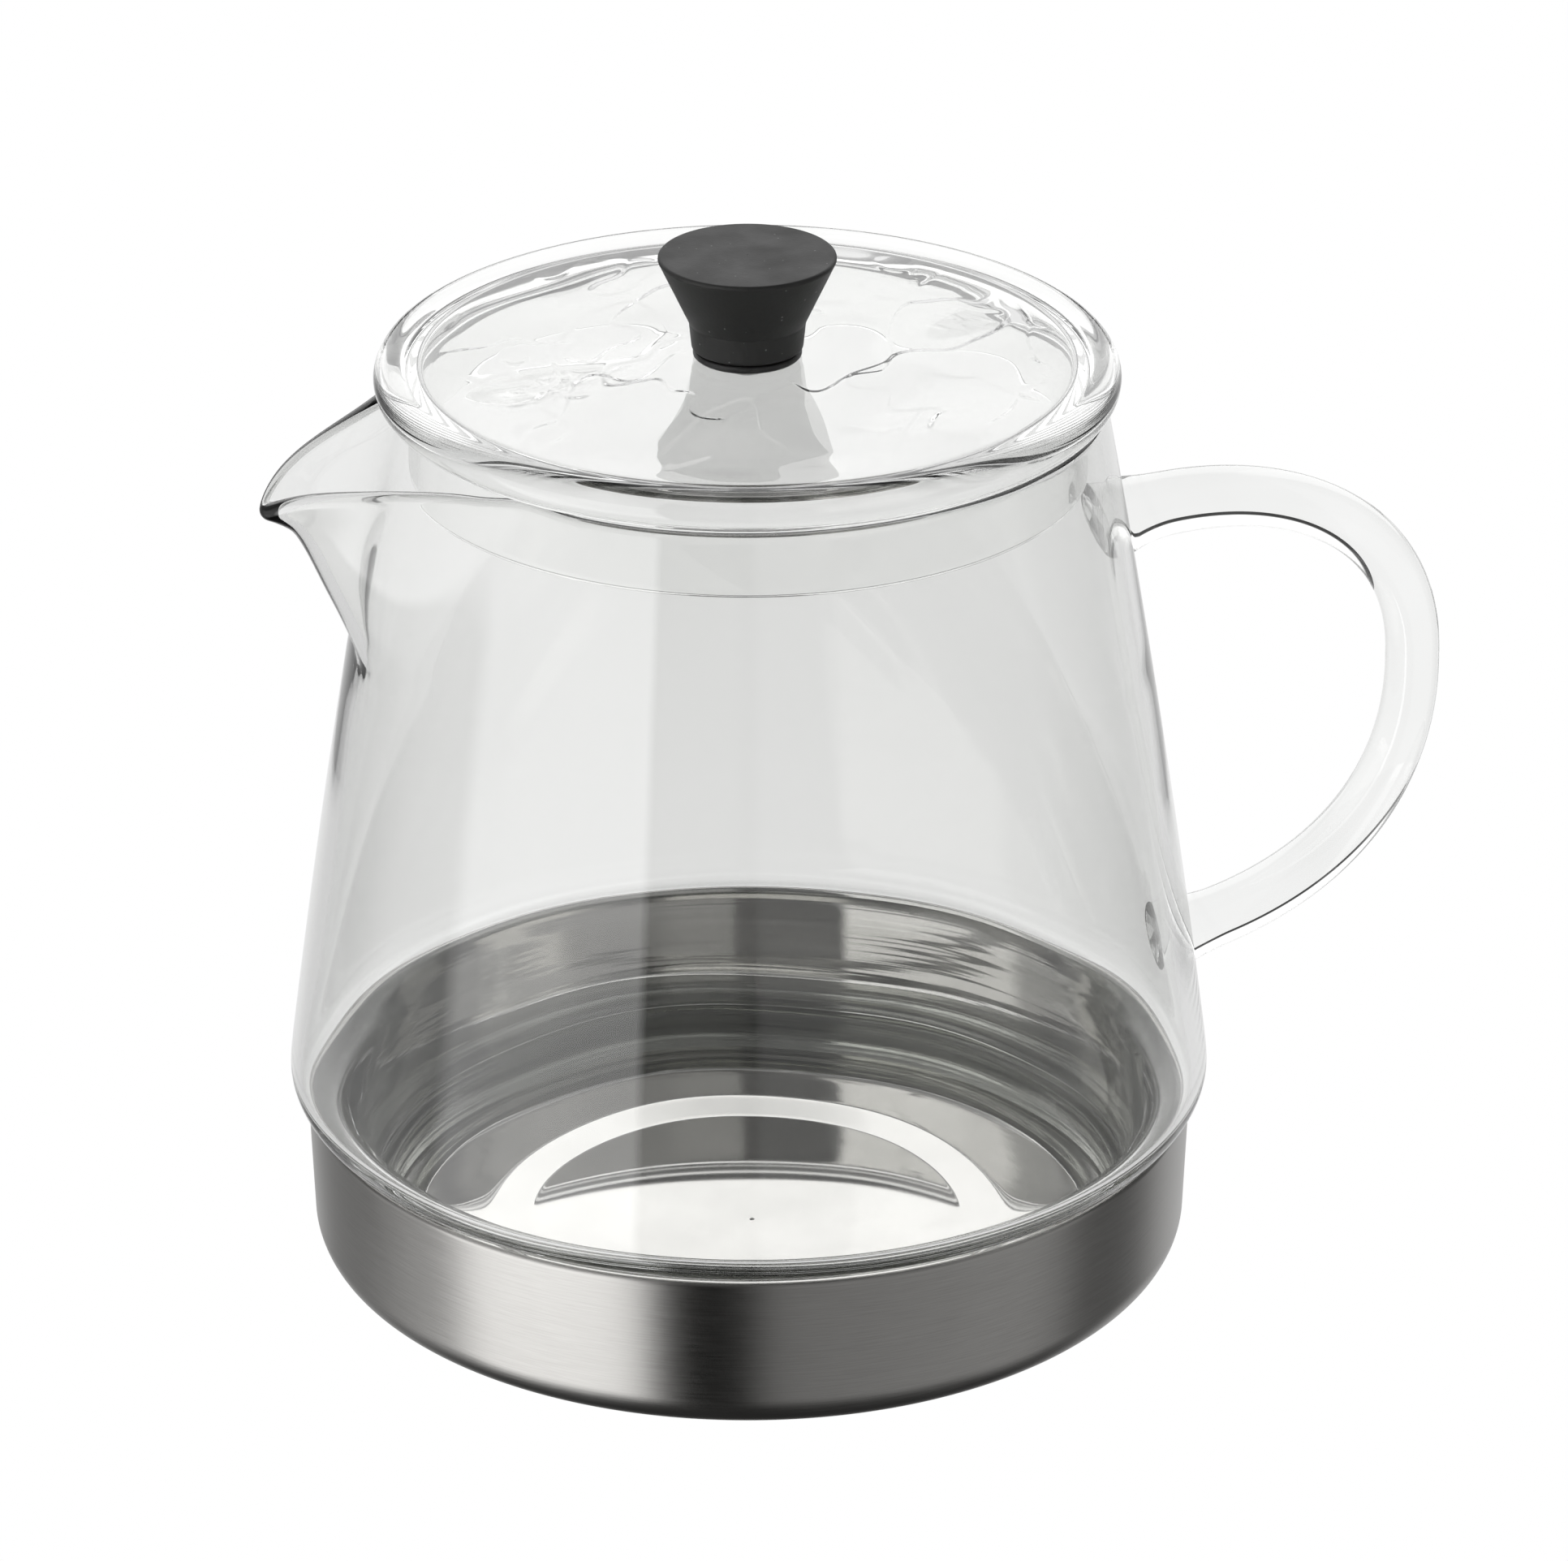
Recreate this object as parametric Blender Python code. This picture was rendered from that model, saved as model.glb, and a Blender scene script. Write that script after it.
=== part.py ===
"""Glass teapot: blown glass body with a pulled spout and a fused rod handle, seated on a silicone
ring in a pressed steel cup, with a loose glass lid and a screwed-on knob.

Axes: origin at the centre of the cup's underside, +Z up, spout along -X, handle along +X.
"""

import math

import bmesh
import bpy
import numpy as np

MM = 0.001
RING_STEPS = 60          # facets round the large round pieces
SMALL_STEPS = 24         # facets round the knob and its hardware

# Steel cup, pressed from sheet (mm)
CUP_RIM_R = 65.9
CUP_HEIGHT = 25.0
CUP_SHEET = 0.9
CUP_TAPER = 0.7          # the wall leans in by this much from rim to corner
CUP_CORNER_R = 6.1
CUP_RIM_ROUND = 0.25
FLOOR_DISC_R = 33.0      # flat disc in the middle, which rests on the table
FLOOR_STEP_END_R = 42.0
FLOOR_STEP_RISE = 1.2
FOOT_IN_R = 50.0
FOOT_R = 54.5            # the outer foot ring rests on the table from here to the corner

# Glass body (mm)
WALL_TOP = 2.2
WALL_LOW = 2.5
BODY_RIM_Z = 134.7
CONE_R0 = 68.97          # outer radius of the cone: R0 - K1 s - K2 s^2, s = height over the cup rim
CONE_K1 = 0.128
CONE_K2 = 0.00028
SHOULDER_Z = 29.7        # the cone ends here and the shoulder rounds in
SHOULDER_R = 4.4
SHOULDER_TURN = 80.0     # degrees
NECK_DROP = 3.9          # height of the hollow curve from the shoulder to the neck
NECK_TOP_R = 61.2
NECK_LOW_R = 59.4
LIP_Z = 7.2              # lowest point of the fire-polished lip

# Spout (mm)
SPOUT_BASE_Z = 95.0      # height where the keel leaves the cone
KEEL = (                 # outer underside of the spout, (distance from axis, height)
    (58.64, 95.0), (58.0, 99.5), (60.3, 106.0), (62.85, 111.8), (65.4, 117.7),
    (67.3, 121.1), (69.1, 122.5), (71.2, 123.5),
)
SPOUT_SOFTEN = 0.075     # rounding of the spout's keel, radians
SPOUT_PINCH = 2.8        # hollow of the spout's side walls in plan
SPOUT_LIP_EXTRA = 0.7    # the fire-polished lip is thicker at the tip

# Handle: a solid glass rod (mm, in the XZ plane)
ROD_TOP_END = (57.0, 109.2)
ROD_TOP_OUT = (80.0, 114.2)
ROD_BEND_TOP = (103.6, 105.0)
ROD_OUTERMOST = (103.4, 81.0)
ROD_BEND_LOW = (104.0, 61.0)
ROD_LOW_OUT = (92.0, 44.8)
ROD_LOW_END = (67.0, 40.0)
ROD_R_TOP = 4.95
ROD_R_SIDE = 4.05
ROD_R_LOW = 4.6
WELD_FLARE = 0.9         # how much wider the rod is where it is fused on
WELD_LENGTH = 7.0
SEAM_GAP = 0.3           # gap left between pieces that touch

# Silicone seal (mm)
SEAL_IN_R = 55.6
SEAL_CREST_R = 60.7      # the crest stands outside the glass lip
SEAL_SEAT_Z = 6.8
SEAL_TOP_Z = 8.6

# Lid (mm)
LID_BEAD_R = 50.63       # centre line of the rounded rim
LID_BEAD_Z = 138.1
LID_BEAD_TUBE = 3.1
LID_SKIRT_R = 48.9
LID_SKIRT_WALL = 2.2
LID_SKIRT_Z = 124.0
LID_CROWN_Z = 140.7
LID_CROWN_THICK = 2.2
LID_HOLE_R = 2.9

# Knob and its hardware (mm)
KNOB_TOP_Z = 156.1
KNOB_TOP_R = 12.8
KNOB_EDGE = 0.9          # height of the straight edge round the top
COLLAR_TOP_Z = 146.1
COLLAR_R = 8.4
COLLAR_LOW_R = 8.05
COLLAR_LOW_Z = 142.1
KNOB_BORE_R = 3.1
KNOB_BORE_TOP = 151.0
INSERT_R = 2.95
INSERT_TOP = 150.5
SCREW_R = 1.9
SCREW_BORE_R = 2.05
SCREW_TOP = 149.0
GASKET_R = 7.85
GASKET_TOP = 141.9
GROMMET_R = 2.6
GROMMET_LOW_Z = 138.6
WASHER_R = 3.7
WASHER_Z = (137.95, 138.4)
HEAD_R = 3.0
HEAD_Z = (137.1, 137.85)
RECESS_ARM = 1.7
RECESS_WIDTH = 0.7
RECESS_DEPTH = 0.45


def clear_scene():
    for obj in list(bpy.data.objects):
        bpy.data.objects.remove(obj, do_unlink=True)


def material(name, colour, metallic=0.0, roughness=0.4, transmission=0.0, alpha=1.0):
    mat = bpy.data.materials.new(name)
    mat.use_nodes = True
    shader = mat.node_tree.nodes["Principled BSDF"]
    shader.inputs["Base Color"].default_value = (*colour, 1.0)
    shader.inputs["Metallic"].default_value = metallic
    shader.inputs["Roughness"].default_value = roughness
    shader.inputs["Transmission Weight"].default_value = transmission
    shader.inputs["Alpha"].default_value = alpha
    mat.diffuse_color = (*colour, alpha)
    return mat


def add_object(name, verts, faces, mat):
    """Adds a smooth-shaded mesh object from points in mm, facing outward."""
    mesh = bpy.data.meshes.new(name)
    mesh.from_pydata([tuple(float(c) * MM for c in v) for v in verts], [], faces)
    bm = bmesh.new()
    bm.from_mesh(mesh)
    bmesh.ops.recalc_face_normals(bm, faces=bm.faces)
    bm.to_mesh(mesh)
    bm.free()
    mesh.polygons.foreach_set("use_smooth", [True] * len(mesh.polygons))
    mesh.materials.append(mat)
    obj = bpy.data.objects.new(name, mesh)
    bpy.context.scene.collection.objects.link(obj)
    return obj


def arc(cx, cz, radius, start, end, steps):
    """Points on an arc in the (r, z) plane, angles in degrees from +r."""
    angles = np.radians(np.linspace(start, end, steps + 1))
    return [(cx + radius * math.cos(a), cz + radius * math.sin(a)) for a in angles]


def lathe(name, profile, mat, steps):
    """Turns a closed (r, z) profile round Z. Points with r = 0 become single poles."""
    verts, rings = [], []
    for r, z in profile:
        if r < 1e-6:
            rings.append([len(verts)] * steps)
            verts.append((0.0, 0.0, z))
            continue
        rings.append(list(range(len(verts), len(verts) + steps)))
        for k in range(steps):
            a = 2 * math.pi * k / steps
            verts.append((r * math.cos(a), r * math.sin(a), z))
    faces = []
    for low, high in zip(rings, rings[1:] + rings[:1]):
        for k in range(steps):
            m = (k + 1) % steps
            face = [low[k], low[m], high[m], high[k]]
            face = [v for i, v in enumerate(face) if v != face[i - 1]]
            if len(face) > 2:
                faces.append(face)
    return add_object(name, verts, faces, mat)


def grid_torus(name, grid, mat):
    """Closes a grid of points both ways into one ring-shaped solid."""
    rows, cols = len(grid), len(grid[0])
    verts = [p for row in grid for p in row]
    faces = []
    for i in range(rows):
        for j in range(cols):
            ni, nj = (i + 1) % rows, (j + 1) % cols
            faces.append([i * cols + j, i * cols + nj, ni * cols + nj, ni * cols + j])
    return add_object(name, verts, faces, mat)


# ---------------------------------------------------------------- steel cup


def floor_height(r):
    """Height of the sheet's underside above the table at radius r."""
    if r <= FLOOR_DISC_R:
        return 0.0
    if r < FLOOR_STEP_END_R:
        u = (r - FLOOR_DISC_R) / (FLOOR_STEP_END_R - FLOOR_DISC_R)
        return FLOOR_STEP_RISE * math.sin(u * math.pi / 2)
    if r <= FOOT_IN_R:
        return FLOOR_STEP_RISE
    if r < FOOT_R:
        u = (r - FOOT_IN_R) / (FOOT_R - FOOT_IN_R)
        return FLOOR_STEP_RISE * (0.5 + 0.5 * math.cos(u * math.pi))
    return 0.0


def steel_base():
    steel = material("brushed_steel", (0.56, 0.55, 0.53), metallic=1.0, roughness=0.3)
    corner_r = CUP_RIM_R - CUP_TAPER - CUP_CORNER_R
    inner = CUP_CORNER_R - CUP_SHEET
    radii = [FLOOR_DISC_R, 35.0, 38.0, FLOOR_STEP_END_R, FOOT_IN_R, 51.5, 53.0, FOOT_R]
    under = [(0.0, 0.0)] + [(r, floor_height(r)) for r in radii]
    over = [(r, z + CUP_SHEET) for r, z in reversed(under)]
    rim = CUP_SHEET / 2 - 0.02
    rim_c = (CUP_RIM_R - CUP_SHEET / 2, CUP_HEIGHT - rim)
    profile = under + arc(corner_r, CUP_CORNER_R, CUP_CORNER_R, -90, 0, 6)
    profile += arc(*rim_c, rim, 0, 180, 4)
    profile += arc(corner_r, CUP_CORNER_R, inner, 0, -90, 5) + over
    return lathe("steel_base", profile, steel, RING_STEPS)


# --------------------------------------------------------------- glass body


def cone_r(z):
    """Outer radius of the plain cone at height z."""
    s = z - CUP_HEIGHT
    return CONE_R0 - CONE_K1 * s - CONE_K2 * s * s


def keel_point(s):
    """(r, z) on the spout's keel at fraction s of its length: a smooth curve through KEEL."""
    pts = np.array(KEEL)
    pts = np.vstack([2 * pts[0] - pts[1], pts, 2 * pts[-1] - pts[-2]])
    spans = len(KEEL) - 1
    i = min(int(s * spans), spans - 1)
    u = s * spans - i
    a, b, c, d = pts[i:i + 4]
    curve = 2 * b + (c - a) * u + (2 * a - 5 * b + 4 * c - d) * u ** 2
    return (curve + (3 * b - a - 3 * c + d) * u ** 3) / 2


def spout_point(beta, s):
    """(r, z) of the outer wall at angle beta off the spout, fraction s up from the keel's foot.

    In plan the wall is a circle with two tangent lines that meet at the keel. The rim dips
    towards the tip.
    """
    keel_reach, keel_z = keel_point(s)
    side_z = SPOUT_BASE_Z + (BODY_RIM_Z - WALL_TOP / 2 - SPOUT_BASE_Z) * s
    plain = cone_r(side_z)
    if keel_reach <= plain:
        return plain, side_z
    opening = SPOUT_SOFTEN + math.acos(plain / keel_reach)
    soft = math.hypot(beta, SPOUT_SOFTEN)
    if soft >= opening:
        return plain, side_z
    along = math.tan(opening - soft) / math.tan(opening - SPOUT_SOFTEN)
    dip = 0.7 * along ** 1.8 + 0.3 * along ** 14
    if along < 0.4:
        dip -= 0.08 * math.sin(math.pi * along / 0.4) ** 2
    hollow = SPOUT_PINCH * s ** 1.5 * math.sin(math.pi * along) ** 2
    return plain / math.cos(opening - soft) - hollow, side_z - (side_z - keel_z) * dip


def body_angles():
    """Azimuths round the body, closer together at the spout (at 180 degrees)."""
    near = [0.0, 2.0, 4.4, 7.6, 11.8, 17.0, 23.0, 30.0, 37.5, 45.0]
    half = near + list(np.linspace(51.75, 180.0, 20))
    around = [180.0 + a for a in half] + [180.0 - a for a in reversed(half[1:-1])]
    return np.radians(around)


def offset_rows(rows, walls):
    """The inner surface: each outer point moved in along its normal by the wall thickness."""
    pts = np.array(rows)
    around = np.roll(pts, -1, axis=1) - np.roll(pts, 1, axis=1)
    along = np.gradient(pts, axis=0)
    normal = np.cross(around, along)
    normal /= np.linalg.norm(normal, axis=2)[..., None]
    if (normal[-1, 0] * pts[-1, 0])[:2].sum() < 0:
        normal = -normal
    return pts - normal * np.array(walls)[:, :, None]


def ring_arc(outer, inner, lift, steps):
    """Rows that round over from the outer row to the inner row, bulging along lift."""
    centre, half = (outer + inner) / 2, (outer - inner) / 2
    size = np.linalg.norm(half, axis=1)[:, None]
    rows = []
    for k in range(1, steps):
        a = math.pi * k / steps
        rows.append(centre + half * math.cos(a) + lift * size * math.sin(a))
    return rows


def shoulder_and_neck():
    """(r, z) of the outer wall from the end of the cone down to the lip."""
    centre = (cone_r(SHOULDER_Z) - SHOULDER_R, SHOULDER_Z)
    turn = arc(*centre, SHOULDER_R, 0, -SHOULDER_TURN, 5)[1:]
    end_r, end_z = turn[-1]
    sweep = []
    for u in (0.3, 0.65, 1.0):
        r = end_r + (NECK_TOP_R - end_r) * math.sin(u * math.pi / 2)
        sweep.append((r, end_z - NECK_DROP * (1 - math.cos(u * math.pi / 2))))
    low_z = LIP_Z + WALL_LOW / 2
    top_z = end_z - NECK_DROP
    down = [(NECK_TOP_R + (NECK_LOW_R - NECK_TOP_R) * u, top_z + (low_z - top_z) * u)
            for u in (0.5, 1.0)]
    return turn + sweep + down


def glass_body():
    glass = material("clear_glass", (0.93, 0.95, 0.94), roughness=0.02,
                     transmission=1.0, alpha=0.35)
    angles = body_angles()
    rows, walls = [], []
    for s in (1.0, 0.94, 0.87, 0.79, 0.7, 0.58, 0.44, 0.29, 0.14):
        row = []
        for a in angles:
            r, z = spout_point(abs(a % (2 * math.pi) - math.pi), s)
            row.append((r * math.cos(a), r * math.sin(a), z))
        rows.append(row)
        near = np.abs(angles % (2 * math.pi) - math.pi)
        walls.append(WALL_TOP + SPOUT_LIP_EXTRA * s ** 6 * np.exp(-(near / 0.45) ** 2))
    plain = [(cone_r(z), z) for z in np.linspace(SPOUT_BASE_Z, SHOULDER_Z, 6)]
    for r, z in plain + shoulder_and_neck():
        rows.append([(r * math.cos(a), r * math.sin(a), z) for a in angles])
        share = (BODY_RIM_Z - z) / (BODY_RIM_Z - LIP_Z)
        walls.append(np.full(len(angles), WALL_TOP + (WALL_LOW - WALL_TOP) * share))
    inner = offset_rows(rows, walls)
    rows = [np.array(row) for row in rows]
    up = rows[0] - rows[1]
    up /= np.linalg.norm(up, axis=1)[:, None]
    down = np.array([[0.0, 0.0, -1.0]])
    lip = ring_arc(rows[-1], inner[-1], down, 4)
    rim = ring_arc(inner[0], rows[0], up, 4)
    grid = rows + lip + list(inner[::-1]) + rim
    return grid_torus("glass_body", grid, glass)


# -------------------------------------------------------------- glass handle


def bezier(p0, p1, p2, p3, steps):
    t = np.linspace(0.0, 1.0, steps + 1)[:, None]
    p0, p1, p2, p3 = map(np.array, (p0, p1, p2, p3))
    return (1 - t) ** 3 * p0 + 3 * t * (1 - t) ** 2 * p1 + 3 * t * t * (1 - t) * p2 + t ** 3 * p3


def rod_radius(share, start, end):
    """Radius of the rod at a share of its length, with start and end distances for the weld flare."""
    if share < 0.5:
        base = ROD_R_TOP + (ROD_R_SIDE - ROD_R_TOP) * math.sin(share * math.pi)
    else:
        base = ROD_R_LOW + (ROD_R_SIDE - ROD_R_LOW) * math.sin(share * math.pi)
    near = min(start, end) / WELD_LENGTH
    return base + (WELD_FLARE * (1 - near) ** 2 if near < 1 else 0.0)


def glass_handle():
    glass = material("rod_glass", (0.93, 0.95, 0.94), roughness=0.02,
                     transmission=1.0, alpha=0.35)
    top = bezier(ROD_TOP_END, ROD_TOP_OUT, ROD_BEND_TOP, ROD_OUTERMOST, 16)
    low = bezier(ROD_OUTERMOST, ROD_BEND_LOW, ROD_LOW_OUT, ROD_LOW_END, 16)
    path = np.vstack([top, low[1:]])
    run = np.concatenate([[0.0], np.cumsum(np.linalg.norm(np.diff(path, axis=0), axis=1))])
    tangent = np.gradient(path, axis=0)
    tangent /= np.linalg.norm(tangent, axis=1)[:, None]
    steps = 16
    rows = []
    last = len(path) - 1
    for i, ((x, z), (tx, tz)) in enumerate(zip(path, tangent)):
        radius = rod_radius(run[i] / run[-1], run[i], run[-1] - run[i])
        row = []
        for k in range(steps):
            a = 2 * math.pi * k / steps
            y, n = radius * math.sin(a), radius * math.cos(a)
            px, pz = x - tz * n, z + tx * n
            if i in (0, last):
                px = math.sqrt((cone_r(pz) + SEAM_GAP) ** 2 - y * y)
            row.append((px, y, pz))
        rows.append(row)
    verts = [p for row in rows for p in row]
    faces = []
    for i in range(last):
        for k in range(steps):
            m = (k + 1) % steps
            faces.append([i * steps + k, i * steps + m, (i + 1) * steps + m, (i + 1) * steps + k])
    for i, end in ((0, ROD_TOP_END), (last, ROD_LOW_END)):
        centre = len(verts)
        mid_z = sum(v[2] for v in rows[i]) / steps
        verts.append((cone_r(mid_z) + SEAM_GAP, 0.0, mid_z))
        faces += [[i * steps + k, i * steps + (k + 1) % steps, centre] for k in range(steps)]
    return add_object("glass_handle", verts, faces, glass)


# ------------------------------------------------------------ silicone seal


def seal_ring():
    silicone = material("clear_silicone", (0.86, 0.89, 0.82), roughness=0.45, alpha=0.8)
    corner_r = CUP_RIM_R - CUP_TAPER - CUP_CORNER_R
    outer = CUP_CORNER_R - CUP_SHEET - SEAM_GAP
    profile = [(SEAL_IN_R, CUP_CORNER_R - outer)]
    profile += arc(corner_r, CUP_CORNER_R, outer, -90, 0, 4)
    profile += [
        (corner_r + outer, SEAL_TOP_Z), (SEAL_CREST_R, SEAL_TOP_Z),
        (SEAL_CREST_R - 0.3, SEAL_SEAT_Z), (SEAL_IN_R, SEAL_SEAT_Z),
    ]
    return lathe("seal_ring", profile, silicone, RING_STEPS)


# --------------------------------------------------------------------- lid


def lid_glass():
    glass = material("lid_clear_glass", (0.93, 0.95, 0.94), roughness=0.02,
                     transmission=1.0, alpha=0.35)
    under = LID_CROWN_Z - LID_CROWN_THICK
    skirt_in = LID_SKIRT_R - LID_SKIRT_WALL
    half = LID_SKIRT_WALL / 2
    tip = (LID_SKIRT_R - half, LID_SKIRT_Z + half)
    profile = [(LID_HOLE_R, LID_CROWN_Z), (24.0, LID_CROWN_Z), (44.0, LID_CROWN_Z)]
    profile += [(47.2, LID_CROWN_Z + 0.12)]
    profile += arc(LID_BEAD_R, LID_BEAD_Z, LID_BEAD_TUBE, 104, -124, 11)
    profile += [(LID_SKIRT_R, 133.6), (LID_SKIRT_R, 129.0)]
    profile += arc(*tip, half, 0, -180, 4)
    profile += [(skirt_in, 130.0)]
    profile += arc(skirt_in - 3.0, under - 3.0, 3.0, 0, 90, 4)
    profile += [(24.0, under), (LID_HOLE_R, under)]
    return lathe("lid_glass", profile, glass, RING_STEPS)


# -------------------------------------------------------- knob and hardware


def lid_knob():
    black = material("black_plastic", (0.012, 0.012, 0.012), roughness=0.45)
    profile = [
        (KNOB_BORE_R, COLLAR_LOW_Z), (COLLAR_LOW_R - 0.3, COLLAR_LOW_Z),
        (COLLAR_LOW_R, COLLAR_LOW_Z + 0.3), (COLLAR_R, COLLAR_TOP_Z - 0.3),
        (COLLAR_R, COLLAR_TOP_Z), (COLLAR_R + 0.25, COLLAR_TOP_Z + 0.5),
        (KNOB_TOP_R - 0.15, KNOB_TOP_Z - KNOB_EDGE), (KNOB_TOP_R, KNOB_TOP_Z - KNOB_EDGE + 0.3),
        (KNOB_TOP_R, KNOB_TOP_Z - 0.3), (KNOB_TOP_R - 0.3, KNOB_TOP_Z),
        (0.0, KNOB_TOP_Z), (0.0, KNOB_BORE_TOP), (KNOB_BORE_R, KNOB_BORE_TOP),
    ]
    return lathe("lid_knob", profile, black, SMALL_STEPS)


def knob_insert():
    brass = material("insert_brass", (0.72, 0.52, 0.25), metallic=1.0, roughness=0.35)
    low = COLLAR_LOW_Z + 0.1
    profile = [
        (SCREW_BORE_R, low), (INSERT_R, low), (INSERT_R, low + 2.4), (INSERT_R - 0.4, low + 2.8),
        (INSERT_R - 0.4, low + 4.4), (INSERT_R, low + 4.8), (INSERT_R, INSERT_TOP),
        (SCREW_BORE_R, INSERT_TOP),
    ]
    return lathe("knob_insert", profile, brass, SMALL_STEPS)


def knob_gasket():
    rubber = material("black_silicone", (0.02, 0.02, 0.02), roughness=0.5)
    seat = LID_CROWN_Z + 0.1
    profile = [
        (SCREW_BORE_R, GROMMET_LOW_Z), (GROMMET_R, GROMMET_LOW_Z), (GROMMET_R, seat),
        (GASKET_R - 0.35, seat), (GASKET_R, seat + 0.35), (GASKET_R, GASKET_TOP - 0.2),
        (GASKET_R - 0.2, GASKET_TOP), (SCREW_BORE_R, GASKET_TOP),
    ]
    return lathe("knob_gasket", profile, rubber, SMALL_STEPS)


def screw_washer():
    rubber = material("washer_silicone", (0.86, 0.88, 0.85), roughness=0.5)
    low, high = WASHER_Z
    profile = [(SCREW_BORE_R, low), (WASHER_R, low), (WASHER_R, high), (SCREW_BORE_R, high)]
    return lathe("screw_washer", profile, rubber, SMALL_STEPS)


def recess_cutter():
    """Cross-shaped cutter for the screw's recess."""
    arm, half = RECESS_ARM, RECESS_WIDTH / 2
    cross = [(half, half), (half, arm), (-half, arm), (-half, half), (-arm, half), (-arm, -half),
             (-half, -half), (-half, -arm), (half, -arm), (half, -half), (arm, -half), (arm, half)]
    low, high = HEAD_Z[0] - 1.0, HEAD_Z[0] + RECESS_DEPTH
    verts = [(x, y, low) for x, y in cross] + [(x, y, high) for x, y in cross]
    count = len(cross)
    faces = [list(range(count)), list(range(count, 2 * count))]
    faces += [[k, (k + 1) % count, count + (k + 1) % count, count + k] for k in range(count)]
    cutter = add_object("recess_cutter", verts, faces, material("cutter", (1.0, 0.0, 0.0)))
    cutter.hide_render = True
    cutter.display_type = "WIRE"
    return cutter


def knob_screw():
    steel = material("screw_steel", (0.6, 0.6, 0.6), metallic=1.0, roughness=0.25)
    low, high = HEAD_Z
    profile = [
        (0.0, low), (HEAD_R - 0.5, low), (HEAD_R, low + 0.3), (HEAD_R, high), (SCREW_R, high),
        (SCREW_R, SCREW_TOP - 0.5), (SCREW_R - 0.5, SCREW_TOP), (0.0, SCREW_TOP),
    ]
    screw = lathe("knob_screw", profile, steel, SMALL_STEPS)
    cut = screw.modifiers.new("recess", "BOOLEAN")
    cut.operation = "DIFFERENCE"
    cut.solver = "EXACT"
    cut.object = recess_cutter()
    return screw


def main():
    clear_scene()
    steel_base()
    seal_ring()
    glass_body()
    glass_handle()
    lid_glass()
    knob_gasket()
    lid_knob()
    knob_insert()
    screw_washer()
    knob_screw()


main()
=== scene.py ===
"""Looks of the glass teapot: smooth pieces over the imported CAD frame, their materials and the
studio.

Lengths are in millimetres until a mesh is written, heights are above the table, the spout points
along -X and the handle along +X, as in the frame.
"""

import math

import bpy
import numpy as np
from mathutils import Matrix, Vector


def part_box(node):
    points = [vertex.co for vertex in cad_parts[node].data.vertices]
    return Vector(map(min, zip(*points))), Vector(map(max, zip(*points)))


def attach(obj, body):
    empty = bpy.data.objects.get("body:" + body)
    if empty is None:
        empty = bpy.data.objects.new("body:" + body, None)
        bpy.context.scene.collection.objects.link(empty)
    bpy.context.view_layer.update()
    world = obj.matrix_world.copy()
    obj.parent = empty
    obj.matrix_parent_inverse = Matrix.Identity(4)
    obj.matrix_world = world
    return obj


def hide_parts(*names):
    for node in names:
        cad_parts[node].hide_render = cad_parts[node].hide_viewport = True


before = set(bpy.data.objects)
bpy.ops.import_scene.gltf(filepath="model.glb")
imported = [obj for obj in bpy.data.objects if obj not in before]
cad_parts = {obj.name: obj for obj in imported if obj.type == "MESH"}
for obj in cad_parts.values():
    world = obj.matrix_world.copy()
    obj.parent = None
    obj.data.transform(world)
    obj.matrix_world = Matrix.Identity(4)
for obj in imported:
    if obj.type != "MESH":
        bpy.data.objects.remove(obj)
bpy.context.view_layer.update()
MM = 0.001


def cad_box(node):
    """(lowest, highest) corner of a CAD node in millimetres."""
    low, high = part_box(node)
    return np.array(low) / MM, np.array(high) / MM


# ------------------------------------------------------------------ sizes

# Camera
CAMERA_MM = (-287.44, -1021.44, 565.80)
CAMERA_TILT = 65.108     # degrees from straight down
CAMERA_TURN = -16.0      # degrees about Z: the pot is seen from the spout's side
CAMERA_LENS = 182.61     # focal length, mm
CAMERA_SENSOR = 36.0     # width, mm

# Fineness of the smooth pieces
ROUND = 288              # columns round a large piece
SMALL_ROUND = 128        # columns round the knob and its hardware
SMALL_SPACING = 0.12     # and the distance between their rows
SMALL_BLUR = 0.06        # how softly their corners are rounded
SPOUT_COLUMNS = 96       # extra columns of the body, which lie closest at the spout

# Steel cup
CUP_RIM_R = cad_box("steel_base")[1][0]
CUP_HEIGHT = cad_box("steel_base")[1][2]
CUP_SHEET = 0.9
CUP_TAPER = 0.7          # the wall leans in by this much from rim to corner
CUP_CORNER_R = 6.1
CUP_RIM_EASE = 0.02      # the rim is this much tighter than half the sheet
CUP_AXIS_R = 0.05        # the floor closes this near the axis
FLOOR_DISC_R = 33.0      # flat disc in the middle, which rests on the table
FLOOR_STEP_END_R = 42.0
FLOOR_STEP_RISE = 1.2
FLOOR_STEP_EASE = 1 / 6  # share of the rise over which the step eases in to level
FOOT_IN_R = 50.0
FOOT_R = 54.5            # the outer foot ring rests on the table from here to the corner

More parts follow.
